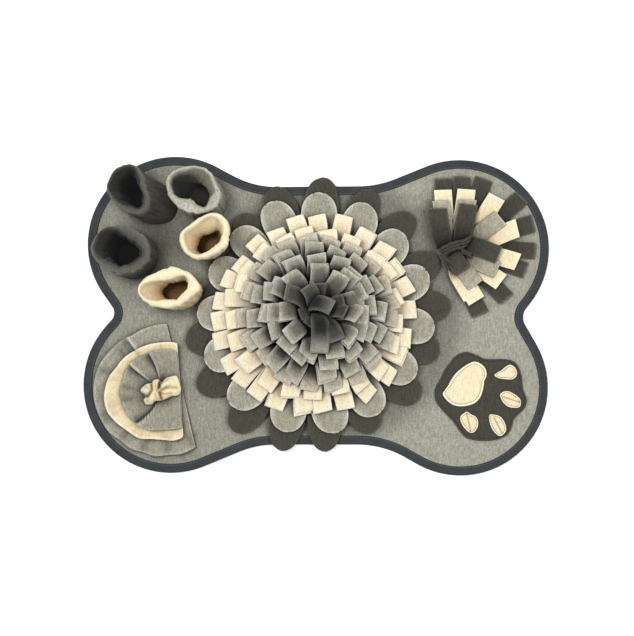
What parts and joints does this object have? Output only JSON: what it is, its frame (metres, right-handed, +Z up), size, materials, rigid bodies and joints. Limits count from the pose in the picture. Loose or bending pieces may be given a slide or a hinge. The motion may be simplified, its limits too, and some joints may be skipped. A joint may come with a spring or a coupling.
{
  "type": "snuffle mat",
  "caption": "Bone-shaped fleece foraging mat for a pet, with a fringed flower, open pouches, a corner fringe, a layered ruffle and a paw patch.",
  "frame": {"origin": "middle of the mat's outline, on the surface that the mat lies on", "axes": "+X along the mat, away from the pouches; +Y towards the edge behind the pouches; +Z up"},
  "size_m": [0.7, 0.48, 0.0922],
  "materials": {
    "mat_fleece": "brushed fleece, mid grey",
    "binding": "woven polyester tape, slate",
    "charcoal_fleece": "brushed fleece, charcoal",
    "grey_fleece": "brushed fleece, mid grey",
    "cream_fleece": "brushed fleece, cream"
  },
  "bodies": {
    "root": {"mat_panel": "mat_fleece", "edge_binding": "binding", "petals_charcoal": "charcoal_fleece", "petals_grey": "grey_fleece", "fringe_cream_low": "cream_fleece", "fringe_cream_high": "cream_fleece", "fringe_grey_1": "grey_fleece", "fringe_grey_2": "grey_fleece", "fringe_grey_3": "grey_fleece", "fringe_grey_4": "grey_fleece", "fringe_grey_5": "grey_fleece", "fringe_charcoal": "charcoal_fleece", "fringe_charcoal_tuft": "charcoal_fleece", "pouch_charcoal_back": "charcoal_fleece", "pouch_grey": "grey_fleece", "pouch_charcoal_side": "charcoal_fleece", "pouch_cream_inner": "cream_fleece", "pouch_cream_front": "cream_fleece", "corner_charcoal_long": "charcoal_fleece", "corner_cream": "cream_fleece", "corner_grey": "grey_fleece", "corner_charcoal_short": "charcoal_fleece", "corner_knot": "charcoal_fleece", "ruffle_grey_wide": "grey_fleece", "ruffle_cream": "cream_fleece", "ruffle_grey_top": "grey_fleece", "ruffle_bow": "cream_fleece", "paw_patch": "charcoal_fleece", "paw_main_pad": "cream_fleece", "paw_toe_1": "cream_fleece", "paw_toe_2": "cream_fleece", "paw_toe_3": "cream_fleece", "paw_toe_4": "cream_fleece"}
  },
  "joints": []
}
